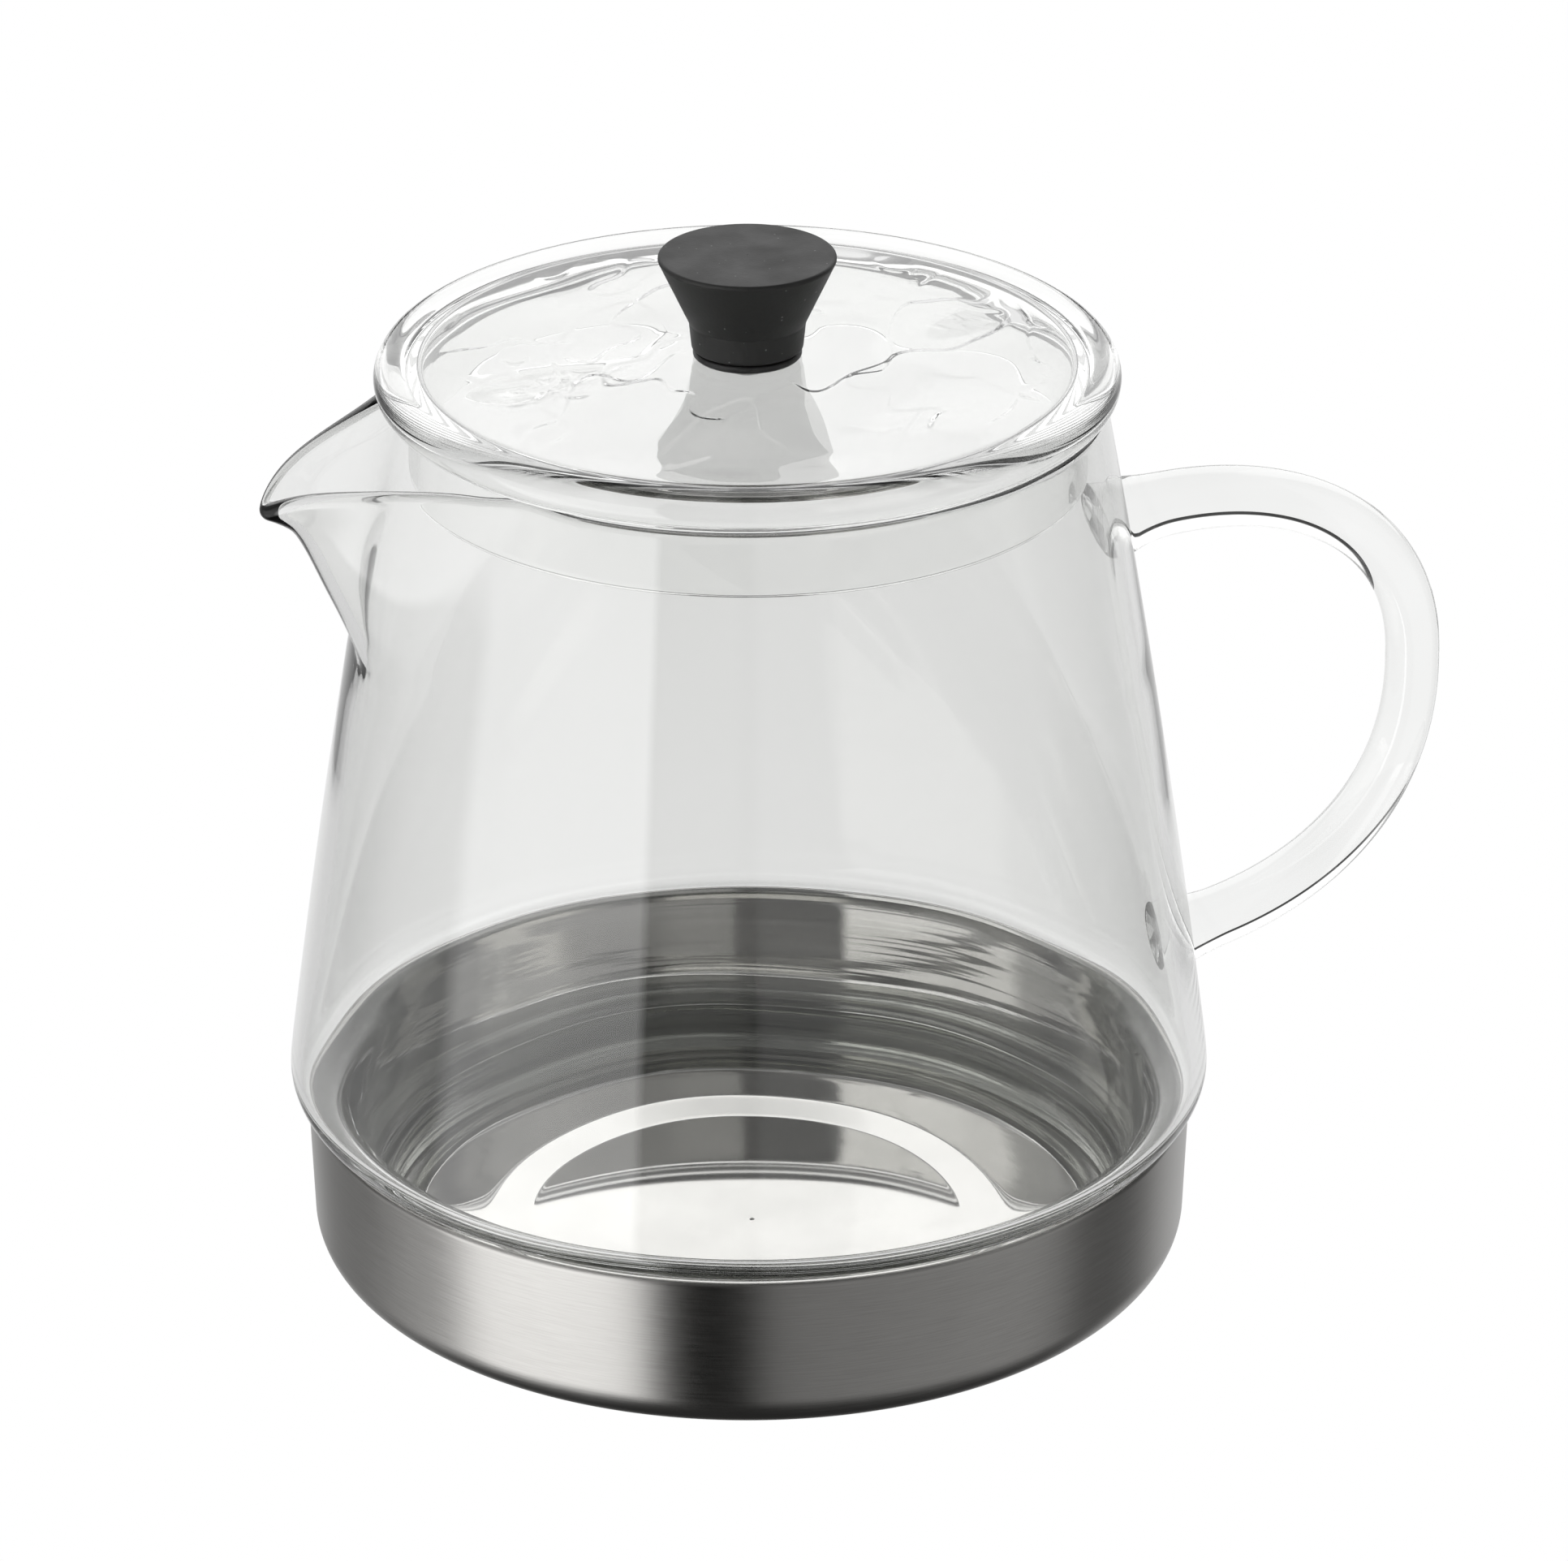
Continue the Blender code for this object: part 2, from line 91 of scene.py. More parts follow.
# Glass body
WALL_TOP = 2.2
WALL_LOW = 2.5
WALL_UNEVEN = 0.035      # share by which the blown wall varies
WALL_UNEVEN_SIZE = 46.0  # length of that variation
BODY_MEAN_R = 57.0       # turns angles into lengths round the wall
BODY_RIM_Z = 134.7
CONE_R0 = 68.97          # the cone would have this radius at the cup's rim
CONE_K1 = 0.128          # it narrows by this much per mm of height
CONE_K2 = 0.00028        # and by this much per square mm, since it is slightly barrelled
SHOULDER_Z = 29.7        # the cone ends here and the shoulder rounds in
SHOULDER_R = 4.4
SHOULDER_TURN = 80.0     # degrees
NECK_DROP = 3.9          # height of the hollow curve from the shoulder to the neck
NECK_TOP_R = 61.2
NECK_LOW_R = 59.4
LIP_Z = cad_box("glass_body")[0][2]  # lowest point of the fire-polished lip

# Spout
SPOUT_BASE_Z = 95.0      # height where the keel leaves the cone
KEEL = (                 # outer underside of the spout, (distance from axis, height)
    (58.64, 95.0), (58.0, 99.5), (60.3, 106.0), (62.85, 111.8), (65.4, 117.7),
    (67.3, 121.1), (69.1, 122.5), (71.2, 123.5),
)
SPOUT_SOFTEN = 0.075     # rounding of the spout's keel, radians
SPOUT_PINCH = 2.8        # hollow of the spout's side walls in plan
SPOUT_LIP_EXTRA = 0.7    # the fire-polished lip is thicker at the tip
SPOUT_LIP_SPREAD = 0.45  # radians over which the lip's extra thickness fades
SPOUT_DIP = ((0.7, 1.8), (0.3, 14))     # the rim line's way to the tip: (share, power)
SPOUT_HUMP = (0.08, 0.4)                # and its rise before the dip: (share, end of it)
SPOUT_EVEN = 0.42        # share of the columns' angle that is spread evenly round the body

# Handle rod: its centre line is two cubic curves, each with four (x, z) control points
ROD_TOP = ((57.0, 109.2), (80.0, 114.2), (103.6, 105.0), (103.4, 81.0))
ROD_LOW = ((103.4, 81.0), (104.0, 61.0), (92.0, 44.8), (67.0, 40.0))
ROD_R_TOP = 4.95
ROD_R_SIDE = 4.05
ROD_R_LOW = 4.6
WELD_FLARE = 0.9         # how much wider the rod is where it is fused on
WELD_LENGTH = 7.0
CAP_SHARES = (0.004, 0.3, 0.6, 0.85, 0.97)     # rings of the end faces, by size
SEAM_GAP = 0.3           # gap left between pieces that touch

# Silicone seal
SEAL_IN_R = 55.6
SEAL_CREST_R = 60.7      # the crest stands outside the glass lip
SEAL_SEAT_Z = 6.8
SEAL_TOP_Z = 8.6

# Lid
LID_BEAD_R = 50.63       # centre line of the rounded rim
LID_BEAD_Z = 138.1
LID_BEAD_TUBE = 3.1
LID_SKIRT_R = 48.9
LID_SKIRT_WALL = 1.3
LID_SKIRT_Z = 124.0
LID_CROWN_Z = 140.7
LID_CROWN_THICK = 2.2
LID_HOLE_R = 2.9
LID_RISE_R = 38.0        # the crown swells gently from here out to the bead
LID_FILLET = 0.6         # inside curve from the crown down to the skirt
LID_SKIRT_TOP_Z = 133.6  # the skirt's outside is straight below this
LID_THIN_BELOW = 136.5   # the glass is skirt, and so clearer, below this
LID_COLUMNS = 540        # columns round it, enough for the steps in the crown

# Waves and steps in the lid's crown, as (height, length) or as limits between which they set in
TOP_WAVE = (0.09, 34.0)
UNDER_WAVE = (0.16, 30.0)
WAVE_FROM_R = (7.0, 16.0)
WAVE_UNTIL_R = (40.0, 47.0)
WAVE_FROM_Z = (137.6, 138.2)
TOP_FACE_Z = (139.0, 140.0)
CHILL_STEP = 0.05        # half the height of a step
CHILL_EDGE = 0.05        # how sharp its edge is: smaller is sharper
CHILL_SIZE = 44.0        # length of the wandering of its line
CHILL_RAGGED = (0.35, 13.0)                 # smaller wandering of its line: (share, length)
CHILL_LINES = ((21, 0.25), (34, -0.2))      # (seed, level)

# Knob and its hardware
KNOB_TOP_Z = cad_box("lid_knob")[1][2]
KNOB_TOP_R = 12.8
KNOB_EDGE = 0.9          # height of the straight edge round the top
KNOB_AXIS_R = 0.03       # the solid knob closes this near the axis
COLLAR_TOP_Z = 146.1
COLLAR_R = 8.4
COLLAR_LOW_R = 8.05
COLLAR_LOW_Z = 142.1
KNOB_BORE_R = 3.1
KNOB_BORE_TOP = 151.0
INSERT_R = 2.95
INSERT_TOP = 150.5
INSERT_RECESS = 0.1      # its lower face lies this far inside the knob
INSERT_GROOVE = 0.4
SCREW_BORE_R = 2.05
GASKET_R = 7.85
GASKET_TOP = 141.9
GASKET_LIFT = 0.1        # above the lid
GROMMET_R = 2.6
GROMMET_LOW_Z = 138.6
WASHER_R = 3.7
WASHER_Z = (137.95, 138.4)

# Random waves: how many are added, how their lengths differ, and what brings the sum to unit size
RIPPLE_WAVES = 7
RIPPLE_STRETCH = (0.7, 1.6)
RIPPLE_UNIT = 2.6


# ----------------------------------------------------------- mesh helpers


def grid_object(name, grid, cyclic_rows=True):
    """A smooth mesh from rows of points (mm). Columns always close; rows close for a full solid."""
    grid = np.asarray(grid, float)
    rows, cols = grid.shape[:2]
    i = np.arange(rows if cyclic_rows else rows - 1)[:, None]
    j = np.arange(cols)[None, :]
    ni, nj = (i + 1) % rows, (j + 1) % cols
    quads = np.stack([i * cols + j, i * cols + nj, ni * cols + nj, ni * cols + j], axis=-1)
    return mesh_object(name, grid.reshape(-1, 3), quads.reshape(-1, 4))


def mesh_object(name, points, quads):
    """A smooth mesh, facing outward, from points in mm."""
    mesh = bpy.data.meshes.new(name)
    mesh.from_pydata((points * MM).tolist(), [], quads.tolist())
    mesh.update()
    if signed_volume(points, quads) < 0:
        mesh.flip_normals()
    mesh.polygons.foreach_set("use_smooth", [True] * len(mesh.polygons))
    obj = bpy.data.objects.new(name, mesh)
    bpy.context.scene.collection.objects.link(obj)
    return obj


def signed_volume(points, quads):
    """Six times the volume inside the faces, negative when they face inward."""
    a, b, c, d = (points[quads[:, k]] for k in range(4))
    halves = np.einsum("ij,ij->i", a, np.cross(b, c)) + np.einsum("ij,ij->i", a, np.cross(c, d))
    return float(halves.sum())


def arc(cx, cz, radius, start, end, steps):
    """Points on an arc in the (r, z) plane, angles in degrees from +r."""
    angles = np.radians(np.linspace(start, end, steps + 1))
    return [(cx + radius * math.cos(a), cz + radius * math.sin(a)) for a in angles]


def evenly(profile, spacing, blur):
    """A closed profile resampled at even spacing, with its corners rounded by a blur (mm)."""
    pts = np.array(profile + [profile[0]], float)
    run = np.concatenate([[0.0], np.cumsum(np.linalg.norm(np.diff(pts, axis=0), axis=1))])
    count = int(run[-1] / spacing)
    at = np.linspace(0.0, run[-1], count, endpoint=False)
    even = np.stack([np.interp(at, run, pts[:, k]) for k in range(2)], axis=1)
    far = int(4 * blur / spacing) + 1
    reach = np.arange(-far, far + 1)
    weight = np.exp(-0.5 * (reach * spacing / blur) ** 2)
    weight /= weight.sum()
    return sum(w * np.roll(even, int(k), axis=0) for k, w in zip(reach, weight))


def lathe(name, profile, columns, wave=None):
    """Turns a closed profile (n, 2) round Z. wave(points) may move the points a little."""
    angles = np.linspace(0.0, 2 * math.pi, columns, endpoint=False)
    r, z = profile[:, :1], profile[:, 1:]
    grid = np.stack([r * np.cos(angles), r * np.sin(angles), z + 0 * angles], axis=-1)
    if wave:
        grid = wave(grid)
    return grid_object(name, grid)


def ripple(x, y, seed, scale):
    """A smooth random field of about unit size, from a few waves of the given scale (mm)."""
    rng = np.random.default_rng(seed)
    total = 0.0
    for _ in range(RIPPLE_WAVES):
        turn = rng.uniform(0, 2 * math.pi)
        stretch = rng.uniform(*RIPPLE_STRETCH) * 2 * math.pi / scale
        total = total + np.sin((x * math.cos(turn) + y * math.sin(turn)) * stretch
                               + rng.uniform(0, 2 * math.pi))
    return total / RIPPLE_UNIT


def smoothstep(x, low, high):
    """0 below low, 1 above high and a smooth ramp between."""
    t = np.clip((x - low) / (high - low), 0.0, 1.0)
    return t * t * (3 - 2 * t)


def stand_for(obj, node, body, slot, *mats):
    """Puts the piece in the place of a CAD node, with its materials."""
    for mat in mats:
        obj.data.materials.append(mat)
    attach(obj, body)
    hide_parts(node)


# ----------------------------------------------------------- node helpers

NOISE_MIDDLE = (0.3, 0.7)       # most of a noise's values lie between these
COLOUR_CHANGE = (0.35, 0.65)    # the part of a noise over which a colour changes


class Nodes:
    """The node tree of a material or a world, and the few node kinds used here."""

    def __init__(self, owner):
        owner.use_nodes = True
        self.nodes = owner.node_tree.nodes
        self.links = owner.node_tree.links

    def add(self, kind, **settings):
        node = self.nodes.new(kind)
        for key, value in settings.items():
            setattr(node, key, value)
        return node

    def feed(self, value, socket):
        """Gives a socket a number or a colour, or links another node's output to it."""
        if isinstance(value, bpy.types.NodeSocket):
            self.links.new(value, socket)
        else:
            socket.default_value = value

    def math(self, operation, *values):
        node = self.add("ShaderNodeMath", operation=operation)
        for value, socket in zip(values, node.inputs):
            self.feed(value, socket)
        return node.outputs[0]

    def split(self, vector):
        """The X, Y and Z of a vector."""
        node = self.add("ShaderNodeSeparateXYZ")
        self.feed(vector, node.inputs[0])
        return tuple(node.outputs)

    def map_range(self, value, source, target=(0.0, 1.0), **settings):
        """Maps the source range onto the target range, and keeps to the target range."""
        node = self.add("ShaderNodeMapRange", **settings)
        names = ("From Min", "From Max", "To Min", "To Max")
        for name, end in zip(names, (*source, *target)):
            node.inputs[name].default_value = end
        self.feed(value, node.inputs["Value"])
        return node.outputs[0]

    def mix(self, share, first, second, **settings):
        node = self.add("ShaderNodeMix", **settings)
        for value, name in ((share, "Factor"), (first, "A"), (second, "B")):
            self.feed(value, node.inputs[name])
        return node.outputs["Result"]

    def ramp(self, value, stops):
        """A colour ramp through stops of (position, colour)."""
        node = self.add("ShaderNodeValToRGB")
        elements = node.color_ramp.elements
        while len(elements) < len(stops):
            elements.new(0.5)
        for element, (position, colour) in zip(elements, stops):
            element.position = position
            element.color = (*colour, 1.0)
        self.feed(value, node.inputs[0])
        return node.outputs[0]


class Shader(Nodes):
    """A Principled material. Distances in it are in metres."""

    def __init__(self, name):
        self.mat = bpy.data.materials.new(name)
        super().__init__(self.mat)
        self.main = self.nodes["Principled BSDF"]

    def put(self, **values):
        """Gives the Principled node's inputs their values, with _ for each space in a name."""
        for key, value in values.items():
            self.feed(value, self.main.inputs[key.replace("_", " ")])

    def place(self):
        return self.add("ShaderNodeTexCoord").outputs["Object"]

    def noise(self, vector, scale, detail=2.0, roughness=0.5):
        node = self.add("ShaderNodeTexNoise")
        node.inputs["Scale"].default_value = scale
        node.inputs["Detail"].default_value = detail
        node.inputs["Roughness"].default_value = roughness
        self.feed(vector, node.inputs["Vector"])
        return node.outputs["Fac"]

    def round_coords(self, along, upright):
        """Coordinates that run round Z: (turn * along, height * upright, radius * upright)."""
        x, y, z = self.split(self.place())
        turn = self.math("ARCTAN2", y, x)
        square = self.math("ADD", self.math("MULTIPLY", x, x), self.math("MULTIPLY", y, y))
        radius = self.math("SQRT", square)
        pack = self.add("ShaderNodeCombineXYZ")
        scaled = ((turn, along), (z, upright), (radius, upright))
        for socket, (value, scale) in zip(pack.inputs, scaled):
            self.feed(self.math("MULTIPLY", value, scale), socket)
        return pack.outputs[0]

    def spread(self, noise, low, high):
        """Maps the middle of a noise onto the range from low to high."""
        return self.map_range(noise, NOISE_MIDDLE, (low, high))

    def colours(self, noise, first, second):
        """Runs the base colour from the first to the second over the middle of a noise."""
        base = self.ramp(noise, tuple(zip(COLOUR_CHANGE, (first, second))))
        self.put(Base_Color=base)
        return base

    def bump(self, height, distance, strength):
        node = self.add("ShaderNodeBump")
        node.inputs["Distance"].default_value = distance
        node.inputs["Strength"].default_value = strength
        self.feed(height, node.inputs["Height"])
        self.put(Normal=node.outputs[0])


# -------------------------------------------------------------- materials

GLASS_IOR = 1.474
SILICONE_IOR = 1.41
THIN_GLASS = (0.985, 0.988, 0.982, 1.0)     # tint where the glass is thin
THIN_CHANGE = 1.0 * MM                      # height over which the tint changes to it
CUP_WALL_FROM = (3.0 * MM, 7.5 * MM)        # the inside turns from floor to wall between these
RINGS_ROUND = 5200.0                        # fineness of the marks left by brushing or turning


def glass(name, light, dark, grain, thin_below=None):
    """Clear borosilicate glass: nearly colourless, with the faint waves of blown ware. Below a
    height it may be thinner, and so clearer."""
    shader = Shader(name)
    shader.put(Transmission_Weight=1.0, IOR=GLASS_IOR, Roughness=0.0)
    waves = shader.noise(shader.place(), grain, detail=1.0)
    tint = shader.colours(waves, dark, light)
    shader.bump(waves, 0.00012, 0.25)
    if thin_below:
        change = thin_below * MM, thin_below * MM + THIN_CHANGE
        above = shader.map_range(shader.split(shader.place())[2], change)
        shader.put(Base_Color=shader.mix(above, THIN_GLASS, tint, data_type="RGBA"))
    return shader.mat


def brushed_steel():
    """Steel brushed round the cup: streaks run round it and blur reflections up and down."""
    shader = Shader("steel_brushed")
    shader.put(Metallic=1.0, Anisotropic=0.62, Anisotropic_Rotation=0.25)
    round_cup = shader.round_coords(along=9.0, upright=RINGS_ROUND)
    streak = shader.noise(round_cup, 1.0, detail=5.0, roughness=0.62)
    cloud = shader.noise(shader.place(), 34.0, detail=4.0, roughness=0.6)
    mixed = shader.math("ADD", shader.math("MULTIPLY", streak, 0.6),
                        shader.math("MULTIPLY", cloud, 0.4))
    shader.colours(mixed, (0.268, 0.262, 0.253), (0.352, 0.346, 0.335))
    tangent = shader.add("ShaderNodeTangent", direction_type="RADIAL", axis="Z")
    shader.put(Roughness=shader.spread(mixed, 0.27, 0.36), Tangent=tangent.outputs[0])
    shader.bump(streak, 0.00002, 0.5)
    return shader.mat


def polished_steel():
    """The inside of the cup: bright, with the rings left on its wall by drawing and polishing."""
    shader = Shader("steel_polished")
    shader.put(Metallic=1.0)
    rings = shader.noise(shader.round_coords(along=0.55, upright=620.0), 1.0)
    haze = shader.noise(shader.place(), 60.0, detail=3.0)
    shader.colours(haze, (0.74, 0.732, 0.716), (0.80, 0.791, 0.775))
    wall = shader.map_range(shader.split(shader.place())[2], CUP_WALL_FROM)
    softer = shader.math("MULTIPLY", wall, 0.04)
    shader.put(Roughness=shader.math("ADD", shader.spread(haze, 0.02, 0.04), softer))
    shader.bump(shader.math("MULTIPLY", rings, wall), 0.00016, 0.35)
    return shader.mat


def silicone(name, light, dark, rough, clear):
    """Soft rubber with a fine grain, from opaque (clear = 0) to clear (1)."""
    shader = Shader(name)
    shader.put(Transmission_Weight=clear, IOR=SILICONE_IOR)
    grain = shader.noise(shader.place(), 420.0, detail=4.0)
    shader.colours(grain, dark, light)
    shader.put(Roughness=shader.spread(grain, rough, rough + 0.12))
    shader.bump(grain, 0.00008, 0.4)
    return shader.mat


def knob_plastic():
    """Matt black moulded plastic with a fine spark-eroded grain and a few specks of dust."""
    shader = Shader("knob_black")
    grain = shader.noise(shader.place(), 1900.0, detail=3.0, roughness=0.6)
    patch = shader.noise(shader.place(), 160.0, detail=4.0)
    specks = shader.add("ShaderNodeTexVoronoi")
    specks.inputs["Scale"].default_value = 520.0
    shader.feed(shader.place(), specks.inputs["Vector"])
    dust = (0.055, (0.10, 0.10, 0.095)), (0.085, (0.0, 0.0, 0.0))
    dots = shader.ramp(specks.outputs["Distance"], dust)
    black = zip(NOISE_MIDDLE, ((0.006, 0.006, 0.006), (0.011, 0.011, 0.010)))
    base = shader.ramp(patch, tuple(black))
    dusty = shader.mix(1.0, base, dots, data_type="RGBA", blend_type="ADD")
    shader.put(Base_Color=dusty, Roughness=shader.spread(patch, 0.50, 0.62))
    shader.bump(grain, 0.00005, 0.5)
    return shader.mat


def turned_metal(name, light, dark, rough):
    """Bare metal with fine rings round Z, as a lathe leaves them."""
    shader = Shader(name)
    shader.put(Metallic=1.0)
    rings = shader.noise(shader.round_coords(along=0.8, upright=RINGS_ROUND), 1.0, detail=3.0)
    shader.colours(rings, dark, light)
    shader.put(Roughness=shader.spread(rings, rough, rough + 0.15))
    shader.bump(rings, 0.00003, 0.5)
    return shader.mat


# -------------------------------------------------------------- steel cup


def floor_height(r):
    """Height of the sheet's underside above the table at radius r."""
    if r <= FLOOR_DISC_R:
        return 0.0
    if r < FLOOR_STEP_END_R:
        u = (r - FLOOR_DISC_R) / (FLOOR_STEP_END_R - FLOOR_DISC_R)
        if u < 0.5:
            return FLOOR_STEP_RISE * (1 - FLOOR_STEP_EASE) * 2 * u
        power = 1 / FLOOR_STEP_EASE - 1     # so that the slope has no kink
        return FLOOR_STEP_RISE * (1 - FLOOR_STEP_EASE * (2 - 2 * u) ** power)
    if r <= FOOT_IN_R:
        return FLOOR_STEP_RISE
    if r < FOOT_R:
        u = (r - FOOT_IN_R) / (FOOT_R - FOOT_IN_R)
        return FLOOR_STEP_RISE * (0.5 + 0.5 * math.cos(u * math.pi))
    return 0.0


def steel_cup():
    """The cup spun from one sheet, brushed outside and polished inside."""
    corner_r = CUP_RIM_R - CUP_TAPER - CUP_CORNER_R
    inner = CUP_CORNER_R - CUP_SHEET
    radii = [CUP_AXIS_R] + list(np.linspace(2.0, FOOT_R, 120))
    under = [(r, floor_height(r)) for r in radii]
    over = [(r, z + CUP_SHEET) for r, z in reversed(under)]
    rim = CUP_SHEET / 2 - CUP_RIM_EASE
    rim_c = (CUP_RIM_R - CUP_SHEET / 2, CUP_HEIGHT - rim)
    profile = under + arc(corner_r, CUP_CORNER_R, CUP_CORNER_R, -90, 0, 24)
    profile += arc(*rim_c, rim, 0, 180, 10)
    profile += arc(corner_r, CUP_CORNER_R, inner, 0, -90, 24) + over
    rows = evenly(profile, spacing=0.45, blur=0.12)
    cup = lathe("steel_cup", rows, ROUND)
    mats = brushed_steel(), polished_steel()
    stand_for(cup, "steel_base", "pot", "brushed_steel", *mats)
    top = int(np.argmax(rows[:, 1]))
    inside = np.repeat((np.arange(len(rows)) >= top).astype(np.int32), ROUND)
    cup.data.polygons.foreach_set("material_index", inside)


# ------------------------------------------------------------- glass body


def cone_r(z):
    """Outer radius of the plain cone at height z."""
    s = z - CUP_HEIGHT
    return CONE_R0 - CONE_K1 * s - CONE_K2 * s * s


def keel_point(s):
    """(r, z) on the spout's keel at fraction s of its length: a smooth curve through KEEL."""
    pts = np.array(KEEL)
    pts = np.vstack([2 * pts[0] - pts[1], pts, 2 * pts[-1] - pts[-2]])
    spans = len(KEEL) - 1
    i = min(int(s * spans), spans - 1)
    u = s * spans - i
    a, b, c, d = pts[i:i + 4]
    curve = 2 * b + (c - a) * u + (2 * a - 5 * b + 4 * c - d) * u ** 2
    return (curve + (3 * b - a - 3 * c + d) * u ** 3) / 2


def spout_row(betas, s):
    """(r, z) of the outer wall at each angle off the spout, fraction s up from the keel's foot."""
    keel_reach, keel_z = keel_point(s)
    side_z = SPOUT_BASE_Z + (BODY_RIM_Z - WALL_TOP / 2 - SPOUT_BASE_Z) * s
    plain = cone_r(side_z)
    r = np.full(len(betas), plain)
    z = np.full(len(betas), side_z)
    if keel_reach <= plain:
        return r, z
    opening = SPOUT_SOFTEN + math.acos(plain / keel_reach)
    soft = np.hypot(betas, SPOUT_SOFTEN)
    inside = soft < opening
    turn = np.where(inside, opening - soft, 0.0)
    along = np.tan(turn) / math.tan(opening - SPOUT_SOFTEN)
    dip = sum(share * along ** power for share, power in SPOUT_DIP)
    hump, end = SPOUT_HUMP
    dip -= hump * np.sin(math.pi * np.clip(along, 0, end) / end) ** 2
    hollow = SPOUT_PINCH * s ** 1.5 * np.sin(math.pi * along) ** 2
    r = np.where(inside, plain / np.cos(turn) - hollow, r)
    return r, np.where(inside, side_z - (side_z - keel_z) * dip, z)


def body_angles():
    """Azimuths round the body, closer together at the spout (at 180 degrees)."""
    u = np.linspace(-1.0, 1.0, ROUND + SPOUT_COLUMNS, endpoint=False)
    return math.pi * (1 + SPOUT_EVEN * u + (1 - SPOUT_EVEN) * u ** 3)


def shoulder_and_neck():
    """(r, z) of the outer wall from the end of the cone down to the lip."""
    centre = (cone_r(SHOULDER_Z) - SHOULDER_R, SHOULDER_Z)
    turn = arc(*centre, SHOULDER_R, 0, -SHOULDER_TURN, 24)[1:]
    end_r, end_z = turn[-1]
    sweep = []
    for u in np.linspace(0, 1, 15)[1:]:
        r = end_r + (NECK_TOP_R - end_r) * math.sin(u * math.pi / 2)
        sweep.append((r, end_z - NECK_DROP * (1 - math.cos(u * math.pi / 2))))
    low_z = LIP_Z + WALL_LOW / 2
    top_z = end_z - NECK_DROP
    down = [(NECK_TOP_R + (NECK_LOW_R - NECK_TOP_R) * u, top_z + (low_z - top_z) * u)
            for u in np.linspace(0, 1, 21)[1:]]
    return turn + sweep + down


def relax(rows, passes):
    """Rounds small kinks by averaging each row with its neighbours above and below."""
    for _ in range(passes):
        rows[1:-1] = rows[1:-1] / 2 + (rows[:-2] + rows[2:]) / 4
    return rows


def outward_normals(rows):
    """Unit normals of a grid of rows, pointing out of the pot."""
    around = np.roll(rows, -1, axis=1) - np.roll(rows, 1, axis=1)
    along = np.gradient(rows, axis=0)
    normal = np.cross(around, along)
    normal /= np.linalg.norm(normal, axis=2)[..., None]
    outward = (normal[-1, 0] * rows[-1, 0])[:2].sum()
    return normal if outward > 0 else -normal


def ring_arc(outer, inner, lift, steps):
    """Rows that round over from the outer row to the inner row, bulging along lift."""
    centre, half = (outer + inner) / 2, (outer - inner) / 2
    size = np.linalg.norm(half, axis=1)[:, None]
    turns = [math.pi * k / steps for k in range(1, steps)]
    return [centre + half * math.cos(a) + lift * size * math.sin(a) for a in turns]


def body_rows():
    """The outer wall as rows of points from the rim down to the lip, its thickness and the
    columns' angles."""
    angles = body_angles()
    betas = np.abs(angles - math.pi)
    rows, walls = [], []
    for s in np.linspace(1.0, 0.0, 64, endpoint=False):
        r, z = spout_row(betas, s)
        rows.append(np.stack([r * np.cos(angles), r * np.sin(angles), z], axis=1))
        near_tip = s ** 6 * np.exp(-(betas / SPOUT_LIP_SPREAD) ** 2)
        walls.append(WALL_TOP + SPOUT_LIP_EXTRA * near_tip)
    plain = [(cone_r(z), z) for z in np.linspace(SPOUT_BASE_Z, SHOULDER_Z, 70)]
    for r, z in plain + shoulder_and_neck():
        rows.append(np.stack([r * np.cos(angles), r * np.sin(angles), z + 0 * angles], axis=1))
        share = (BODY_RIM_Z - z) / (BODY_RIM_Z - LIP_Z)
        walls.append(np.full(len(angles), WALL_TOP + (WALL_LOW - WALL_TOP) * share))
    return np.array(rows), np.array(walls), angles


def glass_body(mat):
    """The blown body: its outer wall, the lip at its foot, its inner wall and its rim."""
    rows, walls, angles = body_rows()
    rows = relax(rows, passes=6)
    round_wall = angles[None, :] * BODY_MEAN_R
    uneven = ripple(round_wall, rows[:, :, 2], seed=3, scale=WALL_UNEVEN_SIZE)
    walls = walls * (1 + WALL_UNEVEN * uneven)
    inner = rows - outward_normals(rows) * walls[..., None]
    inner = relax(inner, passes=12)
    up = rows[0] - rows[1]
    up /= np.linalg.norm(up, axis=1)[:, None]
    down = np.array([[0.0, 0.0, -1.0]])
    lip = ring_arc(rows[-1], inner[-1], down, steps=12)
    rim = ring_arc(inner[0], rows[0], up, steps=14)
    grid = np.concatenate([rows, lip, inner[::-1], rim])
    stand_for(grid_object("body_glass", grid), "glass_body", "pot", "clear_glass", mat)


# ----------------------------------------------------------------- handle


def bezier(points, steps):
    """Points along a cubic curve with these four control points."""
    t = np.linspace(0.0, 1.0, steps + 1)[:, None]
    a, b, c, d = map(np.array, points)
    return (1 - t) ** 3 * a + 3 * t * (1 - t) ** 2 * b + 3 * t * t * (1 - t) * c + t ** 3 * d


def rod_radius(share, distance):
    """Radius of the rod at a share of its length and a distance from its nearer end, where it
    flares within WELD_LENGTH."""
    end = ROD_R_TOP if share < 0.5 else ROD_R_LOW
    base = end + (ROD_R_SIDE - end) * math.sin(share * math.pi)
    near = distance / WELD_LENGTH
    return base + (WELD_FLARE * (1 - near) ** 2 if near < 1 else 0.0)


